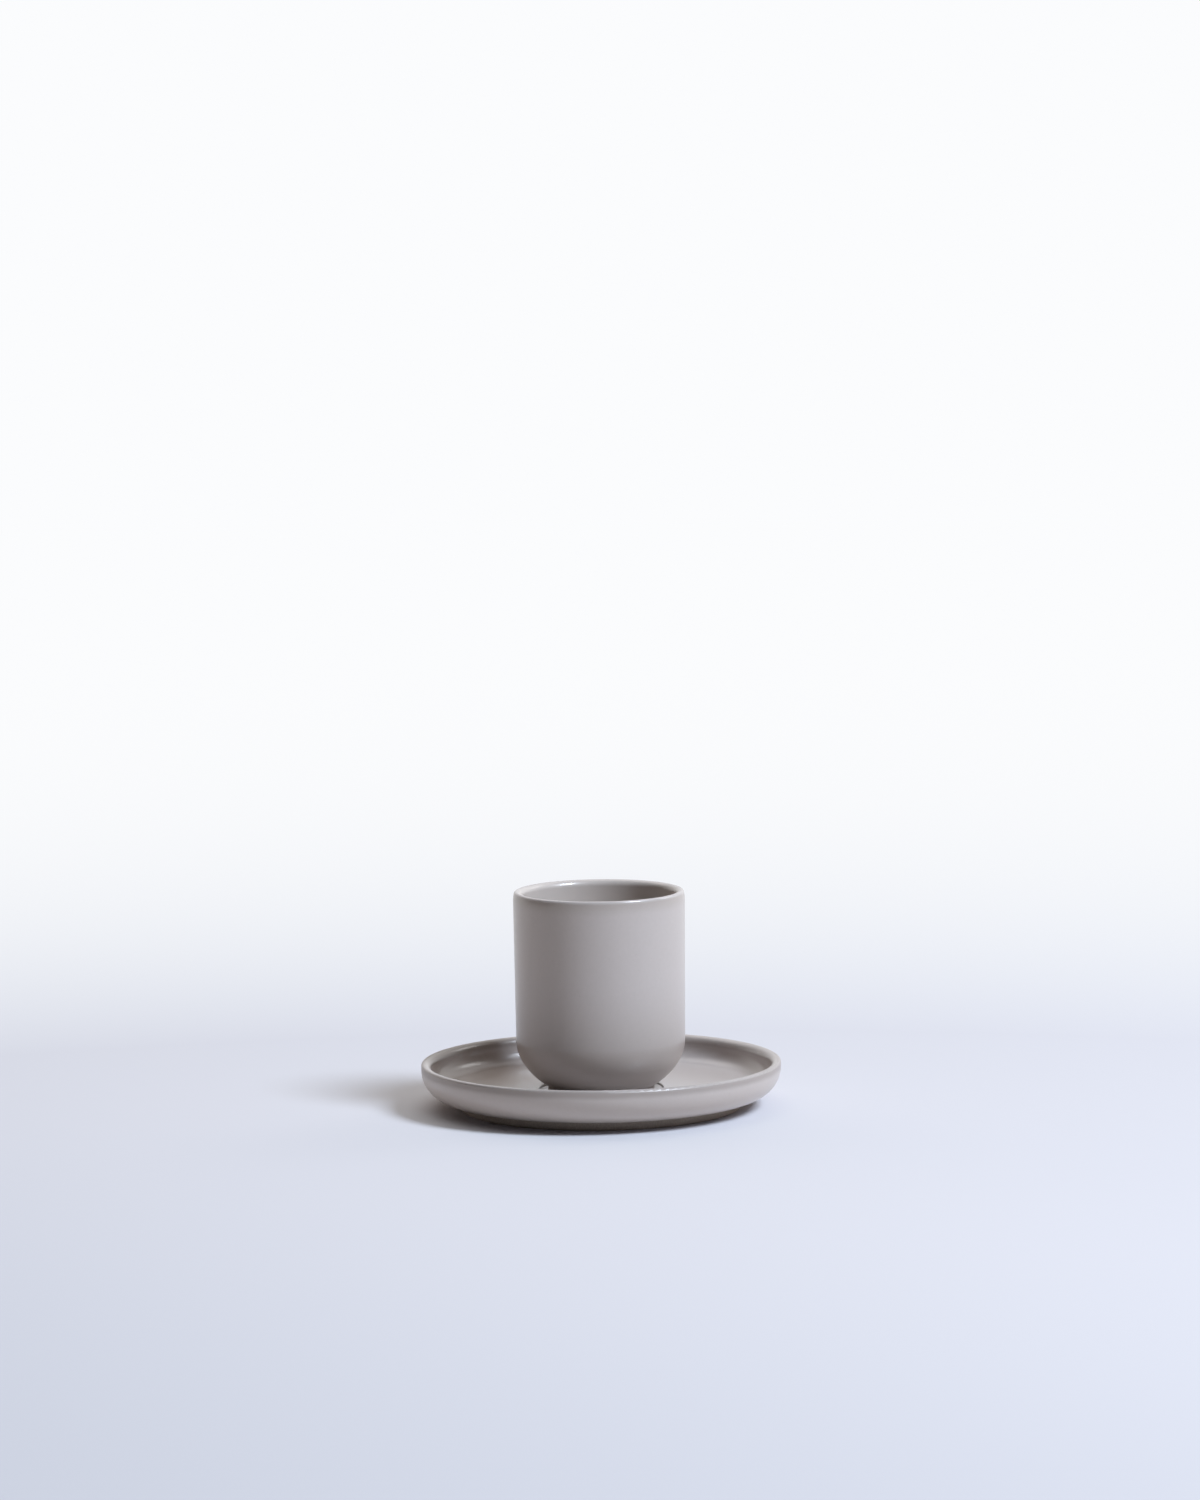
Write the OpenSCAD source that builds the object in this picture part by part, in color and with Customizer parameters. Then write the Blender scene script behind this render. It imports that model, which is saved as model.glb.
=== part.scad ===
// Espresso cup without a handle, standing in the well of its deep-rimmed saucer.
// Millimetres, +Z up, the table at z = 0 and both pieces on the Z axis.

/* [Cup] */

// Widest outside diameter of the cup
cup_d = 54.8; // [50:0.2:60]
// Height of the cup from its foot to its lip
cup_h = 64.2; // [54:0.2:80]
// Thickness of the cup's wall
cup_wall = 3; // [2.4:0.1:4]
// Lean of the cup's wall in degrees, wider at the top
cup_draft = 0.5; // [0:0.1:1.5]
// Radius of the outside curve that draws the wall in to the lip
lip_curve_r = 14; // [8:0.5:20]
// Height above the foot's base at which the belly starts to curve in
belly_h = 16.4; // [14:0.1:19]
// Radius of the upper curve of the belly
belly_r = 13.7; // [9:0.1:16]
// Turn of the upper curve in degrees before the flatter curve takes over
belly_turn = 33.6; // [24:0.2:42]
// Outside diameter of the cup's foot
cup_foot_d = 34; // [31:0.2:37]
// Height of the cup's foot below the belly
cup_foot_h = 1.6; // [1:0.1:2.4]
// Width of the ring that the cup stands on
cup_ring_w = 3; // [2:0.1:5]
// Depth of the recess in the base of the cup
cup_recess = 0.8; // [0.5:0.1:1.4]
// Thickness of the cup's floor over the recess
cup_floor = 3.4; // [2.4:0.1:5]
// Radius of the curve between the floor and the wall inside the cup
cup_inner_r = 13; // [10:0.5:16]

/* [Saucer] */

// Outside diameter of the saucer
saucer_d = 115; // [111:0.5:140]
// Height of the saucer from the table to its rim
saucer_h = 14.8; // [13.6:0.1:17.5]
// Thickness of the saucer's rim
saucer_wall = 3.2; // [2.6:0.1:4]
// Straight part of the outside below the rounding of the rim
rim_upright = 1.3; // [0.5:0.1:2]
// Lean of the saucer's inside wall in degrees, wider at the top
wall_lean = 8; // [5:0.5:12]
// Radius of the hollow curve between the inside wall and the floor
hollow_r = 5.4; // [4:0.1:6]
// Fall of the dished floor towards the well in degrees
dish_fall = 1; // [0.2:0.1:2]
// Clearance all round the cup's foot in the well that it stands in
well_gap = 2.8; // [1:0.1:6]
// Depth of the well below the dished floor
well_depth = 0.6; // [0.5:0.1:1.2]
// Thickness of the saucer's floor in the well
saucer_floor = 3.3; // [2.8:0.1:4.5]
// Outside diameter of the ring that the saucer stands on
saucer_foot_d = 90; // [78:0.5:92]
// Height of the underside above the table, outside the ring
saucer_foot_h = 3.2; // [2:0.1:4]
// Width of the ring that the saucer stands on
saucer_ring_w = 4; // [3:0.1:7]
// Depth of the recess inside the ring
saucer_recess = 2.2; // [1.2:0.1:2.8]

/* [Edges] */

// Rounding of the edges of both feet and of the well
edge_r = 0.4; // [0.2:0.05:0.45]

/* [Hidden] */

$fn = 128;
glaze_colour = [0.7, 0.67, 0.65];

// Rounding of the cup's lip, outside and inside, as shares of the wall that it finishes
lip_out_share = 0.27;
lip_in_share = 0.65;

// The same for the outside of the saucer's rim; the rest of the wall rounds to the inside
rim_out_share = 0.25;

// A point of the cup, from how far it lies out from the leaning wall's zero line and up along it
function leaning(out, up) = [
    out * cos(cup_draft) + up * sin(cup_draft),
    up * cos(cup_draft) - out * sin(cup_draft)
];

// A point of the saucer, from how far it lies along the falling floor and up from it
function falling(along, up) = [
    along * cos(dish_fall) - up * sin(dish_fall),
    along * sin(dish_fall) + up * cos(dish_fall)
];

// The same the other way: how far a point lies up from the falling floor
function up_fall(p) = p.y * cos(dish_fall) - p.x * sin(dish_fall);

// The point that lies as far along the direction a as s says, and along b as t says
function meeting(a, s, b, t) = [s * b.y - t * a.y, t * a.x - s * b.x] / (a.x * b.y - a.y * b.x);

function toward(from, to) = (to - from) / norm(to - from);
function right_of(from, to) = [toward(from, to).y, -toward(from, to).x];
function polar(r, angle) = [r * cos(angle), r * sin(angle)];
function leg(slant, other) = sqrt(slant * slant - other * other);

// Lip of the cup: a tight round outside, met by the larger lip curve below it, and a wider round inside
lip_out_r = lip_out_share * cup_wall;
lip_in_r = lip_in_share * cup_wall;
lip_gap = lip_curve_r - lip_out_r;
lip_side = lip_curve_r - cup_wall + lip_in_r;
lip_rise = leg(lip_gap, lip_side);
lip_in_rise = lip_rise + lip_out_r - lip_in_r;
lip_reach = cup_d / 2 - lip_curve_r + lip_curve_r * cos(cup_draft);
lip_level = cup_h - lip_in_r - lip_in_rise * cos(cup_draft) - (cup_wall - lip_in_r) * sin(cup_draft);
wall_out = lip_reach * cos(cup_draft) - lip_level * sin(cup_draft);
wall_up = lip_level * cos(cup_draft) + lip_reach * sin(cup_draft);
lip_curve_c = leaning(wall_out - lip_curve_r, wall_up);
lip_out_c = leaning(wall_out - cup_wall + lip_in_r, wall_up + lip_rise);
lip_in_c = leaning(wall_out - cup_wall + lip_in_r, wall_up + lip_in_rise);
wall_top = leaning(wall_out, wall_up);
lip_join = lip_curve_c + toward(lip_curve_c, lip_out_c) * lip_curve_r;
lip_crest = leaning(wall_out - cup_wall + lip_in_r, wall_up + lip_rise + lip_out_r);
lip_inside = leaning(wall_out - cup_wall, wall_up + lip_in_rise);

// Base of the cup
cup_ring_out = cup_foot_d / 2;
cup_ring_in = cup_ring_out - cup_ring_w;

// Belly of the cup: two curves that run into each other, the lower one ending on the foot's edge
belly_up = (belly_h + (wall_out - belly_r) * sin(cup_draft)) / cos(cup_draft);
belly_c = leaning(wall_out - belly_r, belly_up);
wall_foot = leaning(wall_out, belly_up);
belly_join = belly_c + polar(belly_r, -belly_turn);
foot_edge = [cup_ring_out, cup_foot_h];
foot_leg = foot_edge - belly_join;
keel_r = -(foot_leg * foot_leg) / (2 * (foot_leg * polar(1, -belly_turn)));
keel_c = belly_join - polar(keel_r, -belly_turn);

// Hollow of the cup: one wall further in, with a single curve down on to the floor
cup_floor_z = cup_recess + cup_floor;
inner_out = wall_out - cup_wall;
inner_up = (cup_floor_z + cup_inner_r + (inner_out - cup_inner_r) * sin(cup_draft)) / cos(cup_draft);
inner_c = leaning(inner_out - cup_inner_r, inner_up);
inner_side = leaning(inner_out, inner_up);
inner_end = [inner_c.x, cup_floor_z];

// Rim of the saucer: a tight round outside and a wider one inside, then one curve down to the underside
rim_out_r = rim_out_share * saucer_wall;
rim_in_r = saucer_wall - rim_out_r;
rim_out_c = [saucer_d / 2 - rim_out_r, saucer_h - rim_out_r];
rim_in_c = [saucer_d / 2 - rim_out_r, saucer_h - rim_in_r];
rim_crest = [saucer_d / 2 - rim_out_r, saucer_h];
turn_r = saucer_h - rim_out_r - rim_upright - saucer_foot_h;
turn_c = [saucer_d / 2 - turn_r, saucer_foot_h + turn_r];

// Well and dished floor of the saucer
well_z = saucer_recess + saucer_floor;
well_r = cup_ring_out + well_gap;
well_lip = [well_r, well_z + well_depth];
well_round_up = up_fall(well_lip) - edge_r;
well_round_x = well_r + edge_r;
well_round_c = [well_round_x, (well_round_up + well_round_x * sin(dish_fall)) / cos(dish_fall)];
well_round_top = well_round_c + falling(0, edge_r);
well_round_side = well_round_c - [edge_r, 0];

// Hollow inside the rim: touches the leaning wall below the round of the rim, and the falling floor
wall_side = [-cos(wall_lean), sin(wall_lean)];
floor_side = falling(0, 1);
rim_inside = rim_in_c + wall_side * rim_in_r;
wall_reach = wall_side * rim_inside + hollow_r;
floor_reach = floor_side * well_lip + hollow_r;
hollow_c = meeting(wall_side, wall_reach, floor_side, floor_reach);
hollow_top = hollow_c - wall_side * hollow_r;
hollow_end = hollow_c - floor_side * hollow_r;

// Ring under the saucer
saucer_ring_out = saucer_foot_d / 2;
saucer_ring_in = saucer_ring_out - saucer_ring_w;

// What lies between the straight line a to b and the arc about c, to the right of the line
module bulge(a, b, c, r) {
    intersection() {
        translate(c)
            circle(r);
        polygon([a, b, b + right_of(a, b) * r, a + right_of(a, b) * r]);
    }
}

// Half section of the cup, standing on z = 0
module cup_section() {
    difference() {
        union() {
            polygon([
                [0, cup_recess],
                [cup_ring_in, cup_recess],
                [cup_ring_in, edge_r],
                [cup_ring_in + edge_r, 0],
                [cup_ring_out - edge_r, 0],
                [cup_ring_out, edge_r],
                foot_edge,
                belly_join,
                wall_foot,
                wall_top,
                lip_join,
                lip_crest,
                lip_inside,
                inner_side,
                inner_end,
                [0, cup_floor_z]
            ]);
            bulge([cup_ring_in, edge_r], [cup_ring_in + edge_r, 0],
                  [cup_ring_in + edge_r, edge_r], edge_r);
            bulge([cup_ring_out - edge_r, 0], [cup_ring_out, edge_r],
                  [cup_ring_out - edge_r, edge_r], edge_r);
            bulge(foot_edge, belly_join, keel_c, keel_r);
            bulge(belly_join, wall_foot, belly_c, belly_r);
            bulge(wall_top, lip_join, lip_curve_c, lip_curve_r);
            bulge(lip_join, lip_crest, lip_out_c, lip_out_r);
            bulge(lip_crest, lip_inside, lip_in_c, lip_in_r);
        }
        bulge(inner_end, inner_side, inner_c, cup_inner_r);
    }
}

// Half section of the saucer, standing on z = 0
module saucer_section() {
    difference() {
        union() {
            polygon([
                [0, saucer_recess],
                [saucer_ring_in, saucer_recess],
                [saucer_ring_in, edge_r],
                [saucer_ring_in + edge_r, 0],
                [saucer_ring_out - edge_r, 0],
                [saucer_ring_out, edge_r],
                [saucer_ring_out, saucer_foot_h],
                [turn_c.x, saucer_foot_h],
                [saucer_d / 2, turn_c.y],
                [saucer_d / 2, rim_out_c.y],
                rim_crest,
                rim_inside,
                hollow_top,
                hollow_end,
                well_round_top,
                well_round_side,
                [well_r, well_z],
                [0, well_z]
            ]);
            bulge([saucer_ring_in, edge_r], [saucer_ring_in + edge_r, 0],
                  [saucer_ring_in + edge_r, edge_r], edge_r);
            bulge([saucer_ring_out - edge_r, 0], [saucer_ring_out, edge_r],
                  [saucer_ring_out - edge_r, edge_r], edge_r);
            bulge([turn_c.x, saucer_foot_h], [saucer_d / 2, turn_c.y], turn_c, turn_r);
            bulge([saucer_d / 2, rim_out_c.y], rim_crest, rim_out_c, rim_out_r);
            bulge(rim_crest, rim_inside, rim_in_c, rim_in_r);
            bulge(well_round_top, well_round_side, well_round_c, edge_r);
        }
        bulge(hollow_end, hollow_top, hollow_c, hollow_r);
    }
}

module cup() {
    color(glaze_colour)
        translate([0, 0, well_z])
            rotate_extrude()
                cup_section();
}

module saucer() {
    color(glaze_colour)
        rotate_extrude()
            saucer_section();
}

saucer();
cup();
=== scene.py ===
"""Espresso cup and saucer on a pale floor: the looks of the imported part. Lengths are in metres."""

import math

import bmesh
import bpy
from mathutils import Matrix, Vector


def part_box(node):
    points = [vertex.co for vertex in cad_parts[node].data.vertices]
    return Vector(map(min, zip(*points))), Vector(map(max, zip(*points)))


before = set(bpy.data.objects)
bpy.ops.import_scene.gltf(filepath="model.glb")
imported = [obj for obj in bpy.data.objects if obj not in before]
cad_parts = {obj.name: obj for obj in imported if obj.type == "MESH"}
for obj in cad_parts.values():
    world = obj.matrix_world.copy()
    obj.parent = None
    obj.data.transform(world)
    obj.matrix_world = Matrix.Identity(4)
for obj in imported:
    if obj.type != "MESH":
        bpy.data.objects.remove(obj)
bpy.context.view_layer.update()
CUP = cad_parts["cup"]
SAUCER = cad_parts["saucer"]
CUP_LOW, CUP_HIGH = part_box("cup")
SAUCER_LOW, SAUCER_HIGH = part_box("saucer")

# The camera stands where the outlines of both pieces fall on the photograph's
PHOTO_W, PHOTO_H = 1200, 1500
FOCAL_PIXELS = 5879
SENSOR_MM = 36.0
CLIP_NEAR, CLIP_FAR = 0.1, 40
CAMERA_DISTANCE = 1.879
CAMERA_ELEVATION = math.radians(8.88)
CAMERA_ROLL = math.radians(0.75)
AIM = Vector((0, 0, 0.035))
AIM_PIXEL = (600.2, 997.9)


def add_camera():
    data = bpy.data.cameras.new("camera")
    data.sensor_fit = "AUTO"
    data.sensor_width = SENSOR_MM
    data.lens = FOCAL_PIXELS / max(PHOTO_W, PHOTO_H) * SENSOR_MM
    data.clip_start, data.clip_end = CLIP_NEAR, CLIP_FAR
    camera = bpy.data.objects.new("camera", data)
    bpy.context.collection.objects.link(camera)
    back = Vector((0, -math.cos(CAMERA_ELEVATION), math.sin(CAMERA_ELEVATION)))
    look = (-back).to_track_quat("-Z", "Y").to_matrix()
    tilt = math.atan((AIM_PIXEL[1] - PHOTO_H / 2) / FOCAL_PIXELS)
    pan = math.atan((AIM_PIXEL[0] - PHOTO_W / 2) / FOCAL_PIXELS)
    roll = Matrix.Rotation(-CAMERA_ROLL, 3, "Z")
    turn = look @ roll @ Matrix.Rotation(tilt, 3, "X") @ Matrix.Rotation(pan, 3, "Y")
    camera.matrix_world = Matrix.Translation(AIM + back * CAMERA_DISTANCE) @ turn.to_4x4()
    bpy.context.scene.camera = camera


# The colour sockets of a Mix node
MIX_FIRST, MIX_SECOND, MIX_RESULT = 6, 7, 2


class Nodes:
    """Short calls for the nodes of one material or world."""

    def __init__(self, tree):
        self.tree = tree

    def add(self, kind, **settings):
        node = self.tree.nodes.new("ShaderNode" + kind)
        for key, value in settings.items():
            setattr(node, key, value)
        return node

    def link(self, output, socket):
        self.tree.links.new(output, socket)

    def feed(self, socket, value):
        if isinstance(value, bpy.types.NodeSocket):
            self.link(value, socket)
        else:
            socket.default_value = value

    def math(self, operation, first, second=0.0):
        node = self.add("Math", operation=operation)
        self.feed(node.inputs[0], first)
        self.feed(node.inputs[1], second)
        return node.outputs[0]

    def plus(self, first, second):
        return self.math("ADD", first, second)

    def minus(self, first, second):
        return self.math("SUBTRACT", first, second)

    def times(self, first, second):
        return self.math("MULTIPLY", first, second)

    def larger(self, first, second):
        return self.math("MAXIMUM", first, second)

    def length(self, first, second):
        """The length of a line from its two sides"""
        squares = self.plus(self.times(first, first), self.times(second, second))
        return self.math("SQRT", squares)

    def distance(self, where, point):
        node = self.add("VectorMath", operation="DISTANCE")
        self.link(where, node.inputs[0])
        node.inputs[1].default_value = point
        return node.outputs["Value"]

    def split(self, vector):
        node = self.add("SeparateXYZ")
        self.link(vector, node.inputs[0])
        return node.outputs["X"], node.outputs["Y"], node.outputs["Z"]

    def span(self, value, low, high, start=0.0, end=1.0):
        """start up to low, end from high on, and a soft change between them"""
        node = self.add("MapRange", interpolation_type="SMOOTHSTEP")
        self.feed(node.inputs["Value"], value)
        node.inputs["From Min"].default_value = low
        node.inputs["From Max"].default_value = high
        node.inputs["To Min"].default_value = start
        node.inputs["To Max"].default_value = end
        return node.outputs["Result"]

    def mix(self, share, first, second):
        node = self.add("Mix", data_type="RGBA")
        self.feed(node.inputs["Factor"], share)
        self.feed(node.inputs[MIX_FIRST], first)
        self.feed(node.inputs[MIX_SECOND], second)
        return node.outputs[MIX_RESULT]

    def noise(self, where, size, detail):
        """A noise whose features are about size across"""
        node = self.add("TexNoise")
        self.link(where, node.inputs["Vector"])
        node.inputs["Scale"].default_value = 1 / size
        node.inputs["Detail"].default_value = detail
        return node.outputs["Fac"]


def colour(red, green, blue):
    return (red, green, blue, 1.0)


def new_material(name):
    material = bpy.data.materials.new(name)
    material.use_nodes = True
    return material, Nodes(material.node_tree), material.node_tree.nodes["Principled BSDF"]


# Tones of the glaze and of the bare clay
GLAZE = colour(0.458, 0.414, 0.404)
GLAZE_DEEP = colour(0.432, 0.389, 0.377)
GLAZE_SPECK = colour(0.36, 0.318, 0.3)
# Painted shade under the cup's lip and towards the foot of either piece
GLAZE_SHADE = colour(0.318, 0.271, 0.24)
# Painted shade and dark reflection under the saucer's rim
GLAZE_RIM_SHADE = colour(0.316, 0.278, 0.264)
# Painted light: the paler, warmer glaze of the cup's hollow
GLAZE_HOLLOW_LIGHT = colour(0.505, 0.449, 0.418)
CLAY = colour(0.34, 0.29, 0.26)
CLAY_GRAIN = colour(0.42, 0.37, 0.33)

# Size and detail of each noise, and the part of it that shows
MOTTLE = (0.0012, 3)
SPECK = (0.0007, 1)
SPECK_FROM, SPECK_TO, SPECK_SHARE = 0.7, 0.82, 0.4
GRAIN = (0.0004, 2)
GRAIN_FROM, GRAIN_TO = 0.35, 0.7
WAVER = (0.006, 1)
NOISE_MIDDLE = 0.5
WAVER_HEIGHT = 0.00045
BARE_WAVER = 0.3

# Widths over which one finish changes into the next
BARE_HALF = 0.0001
CREST_HALF = 0.0004
TOP_SOFT = 0.0009
INNER_SOFT = 0.0005

# How strongly painted shade darkens the glaze towards the foot, and the gloss of glaze, clay and
# coat
LOW_SHADE_SHARE = 0.7
ROUGH_HALF = 0.01
CLAY_ROUGH = 0.85
GLAZE_IOR = 1.5
COAT = 0.3
COAT_ROUGH = 0.12


def glaze_tone(nodes, where, mottle):
    """Two near greys in a fine mottle, and darker specks"""
    specks = nodes.span(nodes.noise(where, *SPECK), SPECK_FROM, SPECK_TO, 0.0, SPECK_SHARE)
    return nodes.mix(specks, nodes.mix(mottle, GLAZE_DEEP, GLAZE), GLAZE_SPECK)


def clay_tone(nodes, where):
    grains = nodes.span(nodes.noise(where, *GRAIN), GRAIN_FROM, GRAIN_TO)
    return nodes.mix(grains, CLAY, CLAY_GRAIN)


def edge_band_share(nodes, height, edge, above, below, most):
    """Grows to most from below the edge up to it, and ends softly above it"""
    rise = nodes.span(height, edge - below, edge, 0.0, most)
    return nodes.times(rise, nodes.span(height, edge, edge + above, 1.0, 0.0))


def hollow_share(nodes, across, up, radius, base, corner):
    """1 inside an upright cylinder with a round lower corner, 0 outside it"""
    out = nodes.larger(nodes.minus(across, radius - corner), 0.0)
    down = nodes.larger(nodes.minus(base + corner, up), 0.0)
    return nodes.span(nodes.length(out, down), corner - INNER_SOFT, corner, 1.0, 0.0)


def glaze(name, foot, shade_line, edge, crest, shade_band, rough, edge_rough, edge_coat, hollow=None):
    """Satin stoneware glaze of one piece, by height and by radius

    Clay is bare below foot. Down from the shade line the glaze has painted shade, darker towards the
    foot, and its coat fades.
    In the band at edge it has painted shade and dark reflection. There and above, outside the radius
    crest, it has its own roughness and coat. In the hollow, where a piece has one, it has painted
    light: a paler, warmer glaze.
    """
    material, nodes, shader = new_material(name)
    where = nodes.add("TexCoord").outputs["Object"]
    side, ahead, up = nodes.split(where)
    across = nodes.length(side, ahead)
    mottle = nodes.noise(where, *MOTTLE)
    waver = nodes.times(nodes.minus(nodes.noise(where, *WAVER), NOISE_MIDDLE), WAVER_HEIGHT)

    # Painted shade and dark reflection in a band at the lip or rim
    *reach, shade_band_tone = shade_band
    shade_band_mask = edge_band_share(nodes, nodes.plus(up, waver), edge, *reach)
    tone = nodes.mix(shade_band_mask, glaze_tone(nodes, where, mottle), shade_band_tone)
    # Painted shade: darker towards the foot, below the shade line
    tone = nodes.mix(nodes.span(up, foot, shade_line, LOW_SHADE_SHARE, 0.0), tone, GLAZE_SHADE)
    # Painted light in the hollow: a paler, warmer glaze
    if hollow:
        tone = nodes.mix(hollow_share(nodes, across, up, *hollow), tone, GLAZE_HOLLOW_LIGHT)
    foot_line = nodes.plus(up, nodes.times(waver, BARE_WAVER))
    bare = nodes.span(foot_line, foot - BARE_HALF, foot + BARE_HALF, 1.0, 0.0)
    nodes.link(nodes.mix(bare, tone, clay_tone(nodes, where)), shader.inputs["Base Color"])

    outside = nodes.span(across, crest - CREST_HALF, crest + CREST_HALF)
    dry = nodes.times(nodes.larger(shade_band_mask, nodes.span(up, edge, edge + TOP_SOFT)), outside)
    roughness = nodes.span(mottle, 0.0, 1.0, rough - ROUGH_HALF, rough + ROUGH_HALF)
    roughness = nodes.plus(roughness, nodes.times(dry, edge_rough - rough))
    roughness = nodes.plus(roughness, nodes.times(bare, CLAY_ROUGH - rough))
    nodes.link(roughness, shader.inputs["Roughness"])
    shader.inputs["IOR"].default_value = GLAZE_IOR
    coat = nodes.times(nodes.span(dry, 0.0, 1.0, COAT, edge_coat), nodes.span(up, foot, shade_line))
    nodes.link(coat, shader.inputs["Coat Weight"])
    shader.inputs["Coat Roughness"].default_value = COAT_ROUGH
    return material


# The band of painted shade and dark reflection at an edge: its reach above and below, its strength
# and its tone
LIP_SHADE_BAND = (0.0008, 0.004, 0.42, GLAZE_SHADE)
RIM_SHADE_BAND = (0.0032, 0.0018, 0.9, GLAZE_RIM_SHADE)

# From the widest radius of either piece in to the crest of its edge
CREST_IN = 0.0013

# The cup: where its finish, painted shade and painted light change, in from its lowest or highest
# point or its widest radius, the round corner of its painted-light hollow, and its roughness
FOOT_BARE = 0.0006
BELLY_SHARE = 0.62
LIP_ROUND = 0.0012
HALF_WALL = 0.0016
HOLLOW_BASE = 0.0038
HOLLOW_CORNER = 0.0142
CUP_ROUGH = 0.31
LIP_ROUGH = 0.29


def cup_glaze():
    low, high, radius = CUP_LOW[2], CUP_HIGH[2], CUP_HIGH[0]
    return glaze(
        "cup_glaze",
        foot=low + FOOT_BARE,
        shade_line=low + BELLY_SHARE * (high - low),
        edge=high - LIP_ROUND,
        crest=radius - CREST_IN,
        shade_band=LIP_SHADE_BAND,
        rough=CUP_ROUGH,
        edge_rough=LIP_ROUGH,
        edge_coat=COAT,
        hollow=(radius - HALF_WALL, low + HOLLOW_BASE, HOLLOW_CORNER),
    )


# The saucer: where its finish and painted shade change, in from its lowest or highest point, its
# roughness and the coat on its rim
RING_BARE = 0.0024
RING_TOP = 0.003
RIM_ROUND = 0.0016
SAUCER_ROUGH = 0.29
RIM_ROUGH = 0.36
RIM_COAT = 0.0


def saucer_glaze():
    low, high, radius = SAUCER_LOW[2], SAUCER_HIGH[2], SAUCER_HIGH[0]
    return glaze(
        "saucer_glaze",
        foot=low + RING_BARE,
        shade_line=low + RING_TOP,
        edge=high - RIM_ROUND,
        crest=radius - CREST_IN,
        shade_band=RIM_SHADE_BAND,
        rough=SAUCER_ROUGH,
        edge_rough=RIM_ROUGH,
        edge_coat=RIM_COAT,
    )


def set_material(obj, material):
    obj.data.materials.clear()
    obj.data.materials.append(material)


def seen_ray(nodes):
    """1 where the camera sees something, directly, in a gloss or through glass"""
    path = nodes.add("LightPath")
    seen = nodes.larger(path.outputs["Is Camera Ray"], path.outputs["Is Glossy Ray"])
    return nodes.larger(seen, path.outputs["Is Transmission Ray"])


# The floor as it is seen, at the object and in front of it, where painted shade darkens it towards
# the front
FLOOR_COLOUR = colour(0.574, 0.57, 0.62)
FLOOR_FRONT_SHADE = colour(0.434, 0.448, 0.51)
FRONT_NEAR, FRONT_FAR, FRONT_SLANT = -0.03, -0.8, 0.9

# The floor as it lights the object from below, far from it and near it
FLOOR_BOUNCE = colour(0.63, 0.59, 0.56)
NEAR_BOUNCE = colour(0.84, 0.785, 0.75)
BOUNCE_FROM, BOUNCE_TO = 0.09, 0.2

# The glow that turns the floor white outside a circle round a point in front of the object
WHITE = colour(0.965, 0.972, 0.985)
GLOW_NEAR = colour(0.9, 0.94, 1.0)
GLOW_TURN = 2.0
NEAR_CENTRE = -0.45
NEAR_RADIUS = 0.55
FADE = 0.22
# Painted light: a weak glow of the seen floor from the saucer's edge on, which lightens the object's
# shadow there
SHADOW_GLOW_FROM, SHADOW_GLOW_TO, SHADOW_GLOW = 0.05, 0.065, 0.2

ORIGIN = (0, 0, 0)
FLOOR_ROUGH = 0.9
FLOOR_HALF = 6.0
FLOOR_CELLS = 8


def floor_tone(nodes, where, out):
    side, ahead, _ = nodes.split(where)
    # Painted shade: the seen floor darkens towards the front left, where the light falls off
    towards = nodes.plus(ahead, nodes.times(side, FRONT_SLANT))
    front = nodes.span(towards, FRONT_FAR, FRONT_NEAR, 1.0, 0.0)
    bounce = nodes.mix(nodes.span(out, BOUNCE_FROM, BOUNCE_TO), NEAR_BOUNCE, FLOOR_BOUNCE)
    return nodes.mix(seen_ray(nodes), bounce, nodes.mix(front, FLOOR_COLOUR, FLOOR_FRONT_SHADE))


def glow_share(nodes, where, out):
    """0 near the object and close to 1 far from it, with a slight painted light from the object's
    edge on that lightens its shadow on the floor
    """
    beyond = nodes.minus(nodes.distance(where, (0, NEAR_CENTRE, 0)), NEAR_RADIUS)
    beyond = nodes.larger(beyond, 0.0)
    fade = nodes.minus(1.0, nodes.math("EXPONENT", nodes.math("DIVIDE", beyond, -FADE)))
    return nodes.larger(fade, nodes.span(out, SHADOW_GLOW_FROM, SHADOW_GLOW_TO, 0.0, SHADOW_GLOW))


def floor_material():
    """Pale floor that keeps the object's shadow, lightened a little by painted light from the
    saucer's edge on, and whose far part shows as the white backdrop
    """
    material, nodes, shader = new_material("floor_paper")
    shader.inputs["Roughness"].default_value = FLOOR_ROUGH
    shader.inputs["Specular IOR Level"].default_value = 0.0
    where = nodes.add("TexCoord").outputs["Object"]
    out = nodes.distance(where, ORIGIN)
    nodes.link(floor_tone(nodes, where, out), shader.inputs["Base Color"])
    share = glow_share(nodes, where, out)
    glow = nodes.add("Emission")
    tint = nodes.mix(nodes.math("POWER", share, GLOW_TURN), GLOW_NEAR, WHITE)
    nodes.link(tint, glow.inputs["Color"])
    both = nodes.add("MixShader")
    nodes.link(nodes.times(share, seen_ray(nodes)), both.inputs[0])
    nodes.link(shader.outputs[0], both.inputs[1])
    nodes.link(glow.outputs[0], both.inputs[2])
    nodes.link(both.outputs[0], material.node_tree.nodes["Material Output"].inputs["Surface"])
    return material


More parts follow.
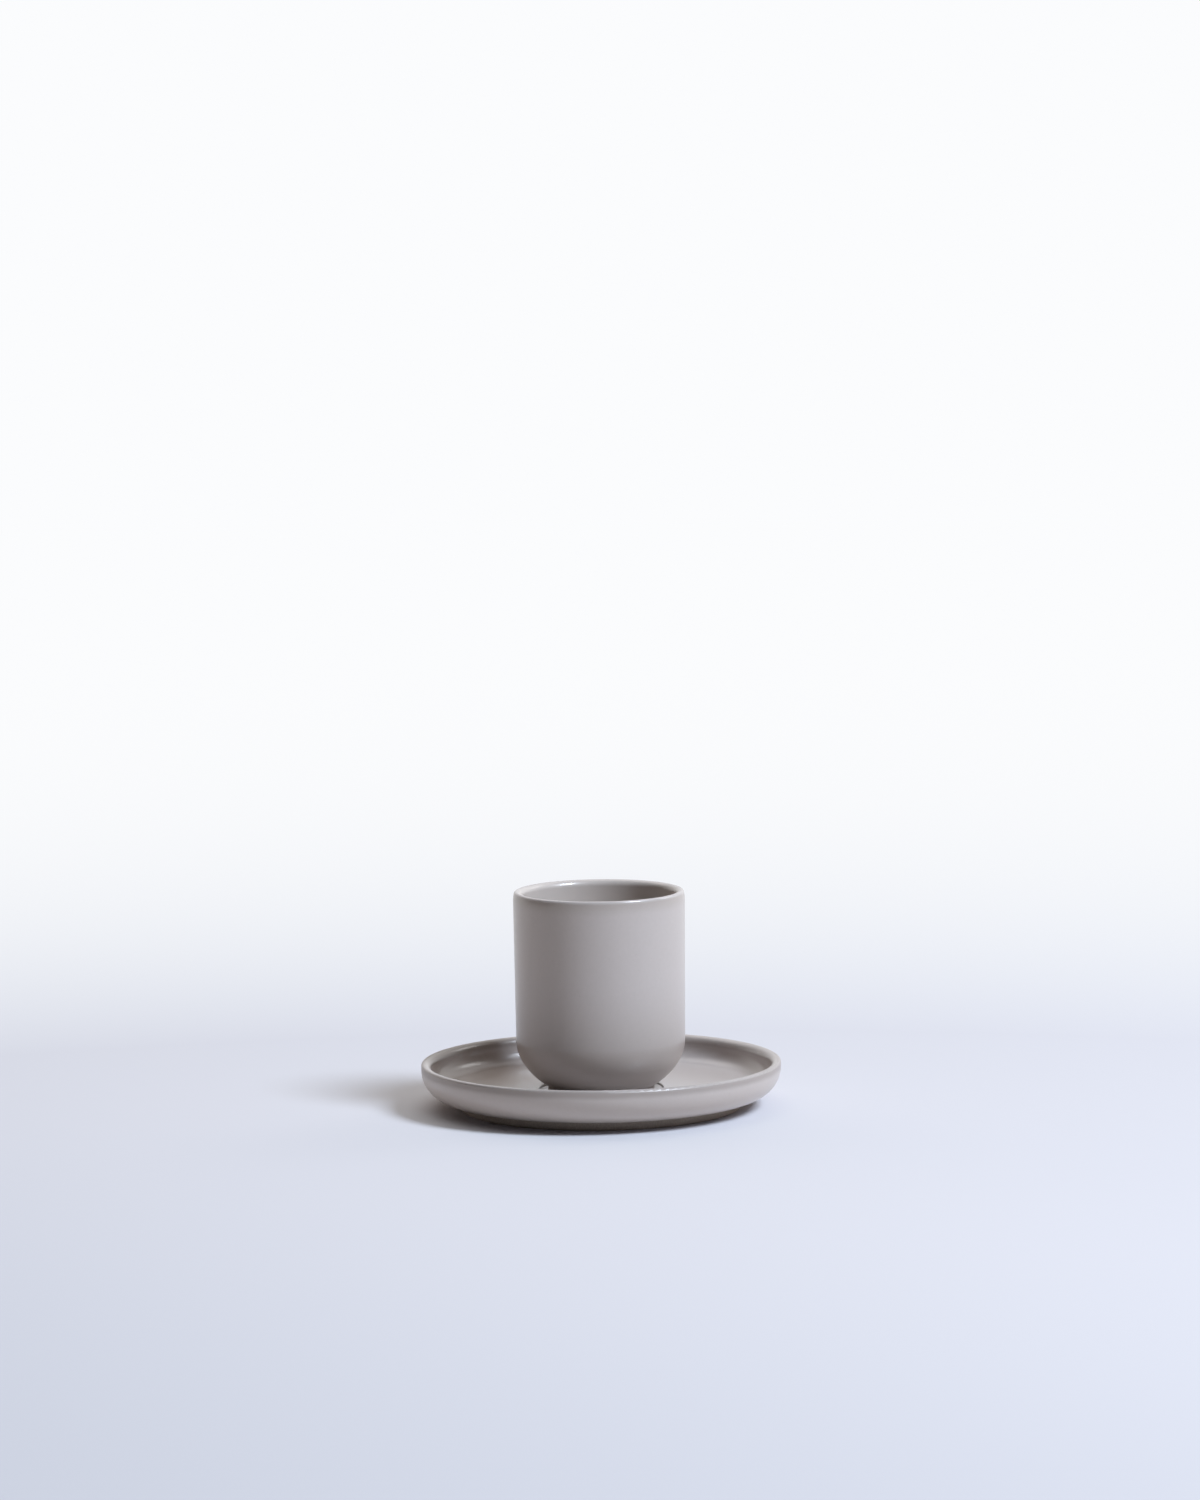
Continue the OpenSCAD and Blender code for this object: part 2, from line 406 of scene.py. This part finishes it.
def add_floor():
    mesh = bmesh.new()
    bmesh.ops.create_grid(mesh, x_segments=FLOOR_CELLS, y_segments=FLOOR_CELLS, size=FLOOR_HALF)
    data = bpy.data.meshes.new("floor")
    mesh.to_mesh(data)
    mesh.free()
    obj = bpy.data.objects.new("floor", data)
    bpy.context.collection.objects.link(obj)
    obj.data.materials.append(floor_material())


# Each lamp: azimuth from the camera's side towards +X and elevation, both in degrees,
# then distance, width and height, power in watts and colour
KEY_LAMP = (60.5, 46.5, 3.0, 0.8, 1.2, 112, (0.89, 1.0, 1.13))
BACK_LAMP = (-157, 57, 3.0, 2.6, 2.6, 10, (1.06, 0.98, 0.9))
RIM_LAMP = (125, 34, 3.0, 0.9, 0.9, 6.4, (1.0, 1.0, 1.0))


def add_lamp(name, azimuth, elevation, distance, width, height, power, tint):
    data = bpy.data.lights.new(name, "AREA")
    data.shape = "ELLIPSE"
    data.size, data.size_y = width, height
    data.energy = power
    data.color = tint
    lamp = bpy.data.objects.new(name, data)
    bpy.context.collection.objects.link(lamp)
    turn, rise = math.radians(azimuth), math.radians(elevation)
    level = math.cos(rise)
    away = Vector((math.sin(turn) * level, -math.cos(turn) * level, math.sin(rise)))
    lamp.location = AIM + away * distance
    lamp.rotation_euler = away.to_track_quat("Z", "Y").to_euler()


ROOM = colour(0.03, 0.03, 0.03)
AMBIENT = colour(1.075, 0.925, 0.79)
BEHIND_FROM, BEHIND_TO = 0.15, 0.62


def add_world():
    """White behind the object and dim in front; the light that it sheds is warmer than it looks"""
    world = bpy.data.worlds.new("studio")
    world.use_nodes = True
    bpy.context.scene.world = world
    nodes = Nodes(world.node_tree)
    _, ahead, _ = nodes.split(nodes.add("TexCoord").outputs["Generated"])
    behind = nodes.span(ahead, BEHIND_FROM, BEHIND_TO)
    backdrop = nodes.mix(seen_ray(nodes), AMBIENT, WHITE)
    light = nodes.mix(behind, ROOM, backdrop)
    nodes.link(light, world.node_tree.nodes["Background"].inputs["Color"])


add_camera()
set_material(CUP, cup_glaze())
set_material(SAUCER, saucer_glaze())
add_floor()
add_lamp("key", *KEY_LAMP)
add_lamp("back", *BACK_LAMP)
add_lamp("rim", *RIM_LAMP)
add_world()

bpy.context.scene.view_settings.view_transform = "Standard"
